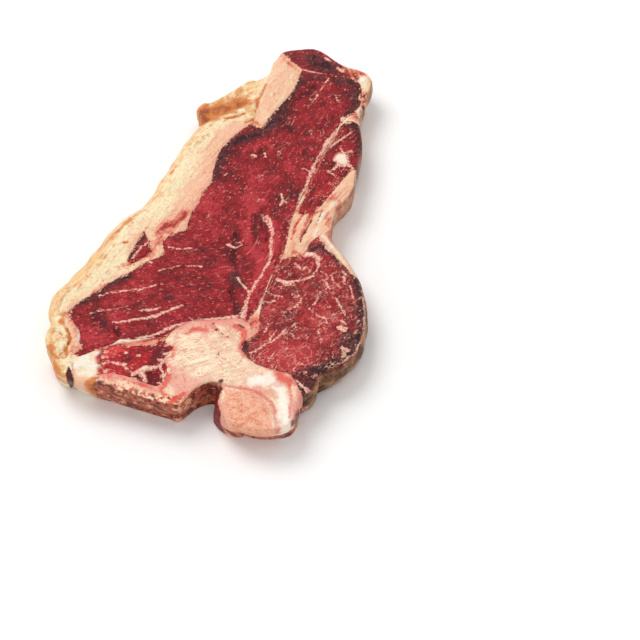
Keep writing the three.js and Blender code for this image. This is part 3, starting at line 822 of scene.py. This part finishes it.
# Flank muscle
# The narrow red muscle at the right, sawn across. A white tendon is cut through in its middle,
# thin seams of fat cross it, and its right border has dried.
tendon = [(71.6, 52.8), (72.8, 50.0)]
flank_seam = [(65.2, 61.3), (68.9, 65.6), (71.6, 66.9), (78, 72.4)]
flank_white = sheet + [
    (8.4, 7.4, tendon),
    (1.8, 0.6, [(70, 48), (66, 43.5)]),
    (1.6, 0.6, [(75, 48), (79, 45)]),
    (1.4, 0.6, [(72.4, 56), (71.6, 61)]),
    (0.9, 1.2, flank_seam),
    (0.8, 0.8, [(71, 56), (78.5, 58.5)]),
    (0.9, 0.6, [(64, 44), (68, 39)]),
]
flank_dry = [
    (2.4, 0.85, [(79, 80), (82.2, 74), (84, 62.7), (83.4, 58)]),
    (2, 0.5, [(66, 60), (60, 46)]),
]
flank = cut_out("flank_muscle", "flank_muscle_piece")
dent(flank, [(3.2, -0.7, tendon), (1.0, -0.3, flank_seam)])
paint(
    flank, meat=1, vein=flank_white, dry=flank_dry, marble=0.9, skin=0.1, blood=0.35, turn=1.0,
    deep=marks_on(flank_dry[:1], 5, 0.9), pale=[(4, 0.5, [(66, 32), (58, 24)])],
)
flank_red = ((82, 0, 6), (146, 0, 12), (184, 32, 42))
flank_walls = ((66, 22, 20), (132, 74, 56))
flank_look = tissue("flank_meat", flank_red, (62, 62), 0.6, (0.71, 0.74, 0.04), walls=flank_walls)
complete(flank, "flank_muscle", flank_look)

# Tenderloin
# The round muscle below the arch of the bone. It is marbled with a net of pale threads, and its
# outer border has dried dark brown.
tender_white = [
    (2.4, 2.8, [(36.4, -37.0), (41.6, -39.7)]),
    (3.6, 2, [(41.6, -39.7), (44.7, -39.0)]),
    (1, 1.2, [(44.7, -38.6), (51.2, -36.4), (55.6, -34.2), (58.4, -29.7), (58.9, -25.2), (57.4, -22.2)]),
    (3.2, 2.6, [(69.9, -70.6), (73.2, -71.6)]),
    (1, 0.5, [(21.6, -87.5), (29.7, -82.4), (35.1, -79.3), (40.5, -72.5)]),
    (3.6, 2, [(52, -17.6), (57, -19.5), (60, -22.5)]),
    (1.8, 1.2, [(63, -14), (69, -20), (74, -27)]),
    (0.5, 0.3, [(29, -73.1), (31.3, -69.2), (33.6, -66.1)]),
    (0.5, 0.3, [(32.4, -78.6), (35.6, -72.4)]),
    (0.8, 0.4, [(29.2, -43.9), (33.1, -48.1), (38.6, -49.5)]),
    (0.7, 0.4, [(27.6, -50.9), (31, -53), (34.8, -51.6)]),
    (0.8, 0.3, [(55.7, -54.4), (58.4, -50.9), (59.5, -45.3)]),
    (0.4, 0.5, [(53, -57), (58.4, -62.1), (61.7, -63.5), (63.9, -67.6)]),
    (0.8, 0.6, [(62.3, -38.2), (65, -43.9)]),
    (1.3, 0.6, [(68.3, -50.9), (71.6, -56.5), (73.2, -62.1)]),
    (1.4, 0.9, [(71, -65.6), (73.2, -67.3)]),
    (0.9, 0.5, [(60.6, -31.1), (63.4, -34)]),
    (0.7, 0.5, [(76.5, -42), (77.9, -50)]),
    (1, 1, [(72, -31), (73.5, -33)]),
    (0.8, 0.7, [(72.5, -35), (73.5, -40)]),
    (1.4, 2, [(46, -25.5), (49.2, -28.5), (51, -28)]),
    (0.3, 0.4, [(47, -70), (44, -73), (46, -78)]),
    (0.4, 0.3, [(47, -44), (49, -50), (47, -56), (42, -58)]),
    (0.3, 0.4, [(62, -66), (58, -72), (60, -79)]),
    (0.5, 0.3, [(66, -33), (67, -39), (71, -43)]),
    (2.2, 1.4, [(71.5, -84.1), (74.7, -85.5)]),
    (0.8, 0.5, [(82.6, -42), (84.2, -58), (83.6, -72), (79, -85.5), (72, -93), (66, -97)]),
]
tender_dry = [
    (3.2, 1, [(66, -13.5), (73.5, -23), (79.5, -34), (82.5, -46), (83.3, -60)]),
    (3.4, 1, [(83.3, -60), (82.6, -72), (78, -84.6), (70.5, -92), (60.2, -98.7), (48, -103)]),
    (4, 0.95, [(74.7, -74.5), (72.8, -82)]),
    (1.8, 0.6, [(41.9, -25.1), (45.7, -26)]),
    (1.4, 0.55, [(50, -29), (49.4, -34.2)]),
    (3, 0.95, [(17.4, -77.8), (19.2, -84.6)]),
    (2.4, 0.9, [(54.8, -15.4), (59.5, -12.2), (65.8, -17.7), (69.6, -23)]),
    (2.4, 0.4, [(51.7, -95.9), (58.8, -97.6)]),
    (4, 0.45, [(56, -38), (62, -50)]),
]
tender_pits = [
    (0.8, 0.8, [(17.6, -76), (19.6, -83)]),
    (0.8, 0.5, [(50, -27), (46, -35)]),
]
tender = cut_out("tenderloin", "tenderloin_piece")
dent(tender, marks_on(tender_white[:7], 1.2, -0.45) + marks_on(tender_pits, 1.2, 0.7))
paint(
    tender, meat=1, vein=tender_white, dark=tender_pits, dry=tender_dry, skin=0.12, turn=1.0,
    marble=glow(*places(tender)[:2], [(99, 0.6, [(50, -60)]), (12, 0.9, [(25, -92), (55, -92)])]),
    deep=marks_on(tender_dry[:2], 5, 0.8) + [(7, 0.5, [(41, -62), (40, -66)])],
    pale=[
        (12, 0.35, [(52, -70), (58, -60)]),
        (8, 0.6, [(38, -88), (52, -88)]),
        (4.5, 0.8, [(37, -53), (32, -61)]),
        (4, 0.8, [(34, -82), (48, -94)]),
    ],
)
tender_red = ((100, 2, 10), (152, 6, 16), (186, 42, 48))
brown = ((74, 38, 22), (136, 88, 52))
tender_look = tissue("tenderloin_meat", tender_red, (50, 50), 0.35, (0.65, 0.6, 0.42), walls=brown)
complete(tender, "tenderloin", tender_look)

# Tail muscle
# The small dark muscle at the thin end of the slice. It has dried nearly black on its right, and
# a seam of fat parts it from the strip loin.
tail_dry = [
    (4, 0.95, [(56.3, 131), (62.2, 126.5), (67.1, 122.3)]),
    (3, 0.8, [(52.6, 131.6), (56.8, 127.3)]),
]
tail_white = [
    (1.2, 0.8, [(49.5, 121.9), (58.3, 119.3), (68.3, 116.5), (76, 114)]),
    (0.9, 0.5, [(62, 131.5), (66, 128.5)]),
    (1.6, 2.2, [(70, 122.5), (73, 120.5)]),
]
tail = cut_out("tail_muscle", "tail_muscle_piece")
paint(tail, meat=1, vein=tail_white, dry=tail_dry, marble=0.5, skin=0.2, blood=0.3)
tail_red = ((72, 0, 8), (128, 14, 22), (168, 52, 56))
tail_look = tissue("tail_meat", tail_red, (20, 20), 0.5, walls=((44, 10, 14), (110, 44, 40)))
complete(tail, "tail_muscle", tail_look)

# Multifidus
# The bright red muscle beside the spine, held between bone and fat. A torn ridge of white fat
# stands up on it, and small flaps of fat lie over its borders.
ridge_lines = [
    (2.2, 4.4, [(-41.4, -102.2), (-36.5, -99.5), (-34.5, -98.2)]),
    (3.4, 1.2, [(-34.5, -98.2), (-31.5, -97.9), (-27.7, -96.4), (-24.2, -93.2)]),
    (3.8, 1.8, [(-36.5, -101.5), (-34.6, -104), (-34.5, -106)]),
    (1.8, 0.6, [(-59.5, -85.5), (-55.5, -87)]),
    (2.4, 0.6, [(-59.5, -90), (-54.5, -90.5)]),
    (2, 0.7, [(-59, -95), (-55, -94.6)]),
    (2.8, 0.9, [(-58.5, -100), (-53, -99)]),
    (2, 0.8, [(-56.5, -104), (-52, -102.4)]),
    (1.4, 0.8, [(-26.7, -96.7), (-24.9, -100.7), (-24, -106.6)]),
    (0.8, 1.8, [(-56, -93), (-50, -95), (-45.5, -95.6)]),
    (1.4, 0.8, [(-46.2, -88.0), (-44.9, -88.2)]),
    (1.2, 0.8, [(-39.5, -88.9), (-38.5, -88.9)]),
    (0.8, 0.8, [(-45, -97.5), (-40.4, -101.7)]),
    (2, 1, [(-21.6, -81), (-24.8, -82.4)]),
    (2.2, 0.8, [(-21.6, -87.2), (-25, -88)]),
    (3.4, 1.4, [(-21.6, -93.6), (-28.4, -91.6)]),
    (3.6, 1.4, [(-20.3, -100), (-26, -102.6)]),
    (2.2, 0.8, [(-23.6, -109.1), (-27.4, -106.6)]),
    (2, 0.9, [(-33, -112), (-31, -109.2)]),
    (1.8, 0.9, [(-47, -109.5), (-45, -106.5)]),
]
multifidus = cut_out("multifidus", "multifidus_piece")
dent(multifidus, marks_on(ridge_lines[:3], 2.2, -0.8) + [(5, 0.7, [(-32, -107), (-28, -102)])])
paint(
    multifidus, meat=1, vein=ridge_lines, skin=0.1, marble=0.5, turn=0.0,
    blood=[(99, 0.3, [(-40, -95)]), (3, 0.8, [(-55, -104), (-46, -104)])],
    deep=[(7, 1, [(-31.9, -104), (-26, -104)]), (6, 0.8, [(-28, -88), (-26, -92)]), (3, 0.6, [(-44, -92)])],
    pale=[(4.5, 0.9, [(-55.3, -86), (-50, -84.5)]), (4, 0.5, [(-52, -99)])],
    dry=[(3.5, 0.3, [(-30.2, -107.4), (-28.6, -103.4)]), (2.5, 0.4, [(-54.5, -103.4), (-49, -107.4)])],
)
bright = ((112, 2, 12), (182, 14, 24), (220, 66, 62))
complete(multifidus, "multifidus", tissue("multifidus_meat", bright, (12, 12), 0.3))

# Side muscle
# A small muscle that lies in the outer fat beside the strip loin. Strands of fat run over it,
# and its outer border has dried.
side_white = [
    (0.7, 1, [(-36.2, -10.1), (-40.3, -14.2), (-44.4, -20.7)]),
    (0.6, 0.4, [(-37.6, -5.2), (-34.3, -11.7)]),
]
side_muscle = cut_out("side_muscle", "side_muscle_piece")
paint(
    side_muscle, meat=1, vein=side_white, skin=0.15, blood=0.4, marble=0.5,
    dry=[(2.2, 0.9, [(-38.5, -5), (-43.5, -13), (-46.4, -19.7)])],
)
complete(side_muscle, "side_muscle", tissue("side_meat", red, (60, 60), 0.5))

# Vertebra muscle
# The small muscle beside the vertebra's body. It has dried dark all over, and a few pale strands
# of sinew run through it.
vertebra_white = [
    (1, 1.6, [(46.3, -105.7), (50.5, -110.4), (53.6, -113.1)]),
    (0.9, 0.7, [(47.6, -112), (50, -119)]),
]
vertebra_muscle = cut_out("vertebra_muscle", "vertebra_muscle_piece")
paint(
    vertebra_muscle, meat=1, vein=vertebra_white, skin=0.15, blood=0.5, marble=0.5,
    dry=[(5, 0.7, [(56, -110), (52, -119)])],
)
dried = ((40, 6, 10), (92, 14, 18), (140, 52, 46))
vertebra_look = tissue("dried_meat", dried, (70, 70), 0.6, walls=((40, 18, 14), (96, 52, 38)))
complete(vertebra_muscle, "vertebra_muscle", vertebra_look)

# Ligament
# The white ligament at the end of the spine, cut through with the slice, and the strip of sinew
# that runs from it along the spine. A narrow dark split parts it from the fat at its left.
split = [(1, 4.4, [(-76.2, -96.8), (-75.7, -100.2), (-74.6, -105.4)])]
ligament = cut_out("ligament", "ligament_piece")
dent(ligament, marks_on(split, 1.8, 1.0))
x = places(ligament)[0]
paint(
    ligament, dark=split,
    tan=[(4, 0.55, [(-85, -92), (-82.1, -100), (-78.5, -108)]), (5, 1.0, [(-57, -112), (-62, -110)])],
    vein=[
        (12, 10, [(-68.5, -92), (-66, -99)]),
        (3, 1, [(-63, -88), (-60, -87)]),
        (3, 1, [(-62, -96), (-59.5, -96.5)]),
        (1.4, 2.4, [(-60, -83), (-52.7, -80)]),
        (2.4, 1.4, [(-52.7, -80), (-41.6, -78.6)]),
        (1.4, 2.2, [(-41.6, -78.6), (-34, -76), (-28.3, -74.2), (-20, -71.5)]),
    ],
    skin=np.where(x > -58, 0.05, np.clip(0.75 - (x + 82) / 16, 0.3, 0.9)),
    blood=[
        (3, 0.45, [(-58, -104), (-54, -108)]),
        (2.2, 0.9, [(-59, -84), (-59.5, -92), (-58.5, -101)]),
        (4, 0.95, [(-58, -81), (-40, -78), (-28, -75), (-18, -71)]),
    ],
)
complete(ligament, "ligament", tissue("ligament_look", red, streaks=(20, 0.15)))

# Edge fat
# The knobbly fat at the upper right. It was torn from what lay beside it, so its face is broken
# by small red holes, and its rim has dried yellow.
knob = [(84.7, 113), (86.4, 109.1)]
holes = [
    (1.2, 1, [(85.8, 102.7), (85.2, 101.6)]),
    (1, 0.9, [(85.7, 97.9), (85.0, 97.2)]),
    (1, 0.8, [(79.3, 118.3), (81.5, 114.5)]),
    (0.8, 0.6, [(76, 118.5), (77, 116)]),
    (1.2, 1, [(84.8, 94.0), (84.2, 93.0)]),
    (1, 0.8, [(85.3, 90.0), (85.0, 89.2)]),
]
edge_fat = cut_out("edge_fat", "edge_fat_piece")
edge_white = [
    (5, 4.4, [(84.7, 113), (86.0, 109.1)]),
    (1.6, 1, [(88.4, 98), (87, 95)]),
    (1.4, 1.4, [(83, 92), (82.4, 86)]),
]
edge_blood = marks_on(holes, 1.9, 0.9) + [
    (4, 0.75, [(74, 122), (79, 119.5)]),
    (2.6, 0.95, [(81.5, 119.5), (84.5, 118)]),
    (2.4, 0.85, [(78.5, 88), (80, 84)]),
]
dent(edge_fat, marks_on(holes, 1.4, 1.0) + [(3.0, -0.8, knob)])
paint(
    edge_fat, dark=holes, vein=edge_white, skin=0.4, blood=edge_blood,
    tan=[(1.4, 0.7, [(89.6, 112), (89.6, 102.7)]), (1.2, 0.4, [(84, 92), (82, 80), (83, 70)])],
)
complete(edge_fat, "edge_fat", tissue("edge_fat_look", red, streaks=(110, 0.25), walls=brown))

# Inner fat
# The fat and sinew between the muscles, drawn out in streaks. Between the strip loin and the flank
# muscle it is a thin pink sheet with one thicker white end.
hollow = [(70.1, 19.8), (72.4, 15.3), (72.9, 9.4), (71, 3.6)]
gaps = [
    (0.6, 0.9, [(56.4, 12.8), (54, 5), (51.1, -2.3), (48.2, -9.5)]),
    (0.5, 0.4, [(60.9, 13.3), (59.6, 7.4), (57.1, 1.8)]),
    (0.4, 0.4, [(52, 16), (50, 10)]),
]
inner_blood = [
    (5, 0.75, [(72.8, 80.2), (67.6, 70.1), (62.4, 59.3), (58.4, 49.4), (54.4, 38.8), (51, 29)]),
    (2.2, 0.7, [(49, 16.8), (57, 20), (66, 22.5)]),
    (2, 0.6, [(62.9, 12), (66, -2), (64, -8)]),
    (2.4, 0.65, hollow),
    (2, 0.9, [(78.8, 28), (79.3, 23.5), (78.2, 19.8)]),
    (2.6, 0.6, [(46.5, 13.1), (51, 11.6), (56.7, 12.4)]),
    (1.5, 0.6, [(40, -28), (33, -40), (28, -50)]),
    (3.4, 0.9, [(22, -66), (18.2, -71.8), (12, -69)]),
    (4, 0.35, [(60, -6), (65, -13), (69, -20)]),
    (1.3, 0.85, [(55.4, 13), (52, 4), (48.6, -6)]),
    (1, 0.8, [(51.6, 13.9), (48.3, 7.2), (46, 2.1), (43.5, -8)]),
    (2, 0.7, [(45, -16), (50, -20), (56, -16)]),
]
inner_white = sheet + [
    (1.6, 2, [(61, -5), (65.5, -12), (69.5, -18.5), (73, -24.5)]),
    (1.2, 0.8, [(69, 20), (65, 15), (60.5, 8), (58.5, 0), (56, -5)]),
]
inner_fat = cut_out("inner_fat", "inner_fat_piece")
dent(inner_fat, marks_on(gaps, 1.2, 0.6) + marks_on(sheet[:1], 2.4, -0.5))
dent(inner_fat, [(2.4, 1.0, hollow), (3.4, -0.7, [(59.5, 8), (64, 12), (66.5, 18)])])
x = places(inner_fat)[0]
paint(
    inner_fat, dark=gaps, vein=inner_white, blood=inner_blood,
    # The first tan mark is painted shade: brown along the hollow behind the raised lobe.
    tan=[(2.4, 0.85, [(71, 17), (71.5, 10), (69, 3), (68, -6)]), (2.5, 0.3, [(48, 2), (42, -14)])],
    skin=np.where(x > 40, 0.32, 0.05),
)
inner_look = tissue("inner_fat_look", red, streaks=(57, 0.3), walls=((84, 28, 24), (160, 74, 56)))
complete(inner_fat, "inner_fat", inner_look)

# Outer fat
# The thick fat along the left side: pink beside the muscle, then cream, with a wrinkled yellow
# skin outside. A dried tongue stands out beside its upper lobe, and a rolled lump at the corner.
crease = [(27.9, 110.7), (25.6, 103.5), (23.3, 97.9), (23.1, 93.6), (22.3, 88.1), (21.2, 83.8)]
fat_folds = [
    (0.8, 0.35, crease),
    (0.8, 0.8, [(16.6, 81.3), (20.1, 83.6), (24.2, 78.7)]),
    (0.7, 0.6, [(5, 84.2), (10, 85.2), (16, 88.5)]),
    (0.7, 0.9, [(-78.3, -71.1), (-76.4, -75.2), (-75.7, -78.6), (-76.6, -81.4)]),
    (0.6, 0.4, [(-76.6, -81.4), (-78.4, -86.2), (-81.6, -88.4)]),
    (0.6, 0.5, [(-84.2, -72.5), (-81.9, -73.8), (-80.7, -75.9)]),
    (0.7, 0.5, [(-85.6, -86.5), (-82.1, -90.5), (-78.3, -89.5)]),
    (1.1, 0.9, [(-49.7, -10.3), (-48, -9.9)]),
    (1, 0.7, [(-47.1, -25.0), (-42.6, -21.5)]),
]
fat_tan = [
    # The crease's tan is painted shade along the fold.
    (1.2, 0.35, crease[:4]),
    (3.4, 0.9, [(-9.5, 91.6), (-7.5, 86)]),
    (8.5, 0.8, [(-6, 92.5), (4, 95.5), (12, 98.5)]),
    (2, 0.3, [(-8, 84), (0, 86.5), (7, 89.5)]),
    (1.6, 0.35, [(-81.5, -66), (-78, -73), (-76, -80)]),
    (3, 0.45, [(-87, -82), (-84.7, -93), (-80, -102)]),
    (2, 0.5, [(-57, -4), (-50, 4), (-44, 11)]),
    (2.4, 0.5, [(-81, -60), (-81.5, -65)]),
    (1.8, 0.5, [(-78.5, -84), (-77.5, -88)]),
]
fat_blood = [
    (1.3, 0.95, [(-16.5, 9.4), (-22, 5), (-27.4, -0.1)]),
    (2.2, 0.9, [(-24, -3), (-27, -2)]),
    (3.6, 0.7, [(-31.3, -2.3), (-27, 2.8), (-21.7, 5.4), (-17.2, 10.6)]),
    (3.5, 0.6, [(-35.2, -16.8), (-32.2, -11), (-29, -5.2)]),
    (2.4, 0.6, [(-48.1, -26), (-40.6, -22.1), (-35.2, -17.4)]),
    (2.4, 0.85, [(-64, -46.5), (-58, -41.5)]),
    (1.6, 0.5, [(35, 135), (41, 128.5), (46, 122)]),
    (2.6, 0.42, [(-76.1, -60.7), (-74.2, -66.2), (-72.3, -72.5), (-71.3, -80.6), (-73.7, -88.1)]),
]
fat_white = [
    (0.7, 0.7, [(-27, -4.5), (-25.6, -4.3)]),
    (1.2, 1.4, [(-75.2, -57.9), (-72.6, -66.2), (-71.5, -75.2), (-72.2, -82.1)]),
]
fat_cap = slab
fat_cap.name = "outer_fat"
dent(fat_cap, marks_on(fat_folds, 1.1, 1.1))
x, y, _ = places(fat_cap)
from_meat = -look_up(lean_field, x, y)
from_rim = np.maximum(look_up(rim_field, x, y), -2)
low = rise(10 - y, 30)
skin = 0.06 + 0.24 * low + (0.68 - 0.1 * low) * from_meat / (from_meat + from_rim + 1.8)
lobe = rise(y - 80, 3) * rise(x - 19 - (y - 80) * 0.22, 2)
skin = skin * (1 - lobe) + 0.33 * lobe
grey_line = [(-76.1, -60.7), (-74.7, -66.2), (-72.8, -72.5), (-71.3, -78.6), (-72.7, -84.1)]
grey = glow(x, y, [(3.2, 0.8, grey_line)])
paint(
    # The folds are painted tan along their lines besides their dents: painted shade in the folds.
    fat_cap, dark=split, tan=fat_tan + fat_folds, blood=fat_blood, vein=fat_white,
    skin=np.clip(skin * (1 - grey), 0, 1),
)
complete(fat_cap, "fat_cap", tissue("outer_fat_look", red, streaks=(58, 0.15)))
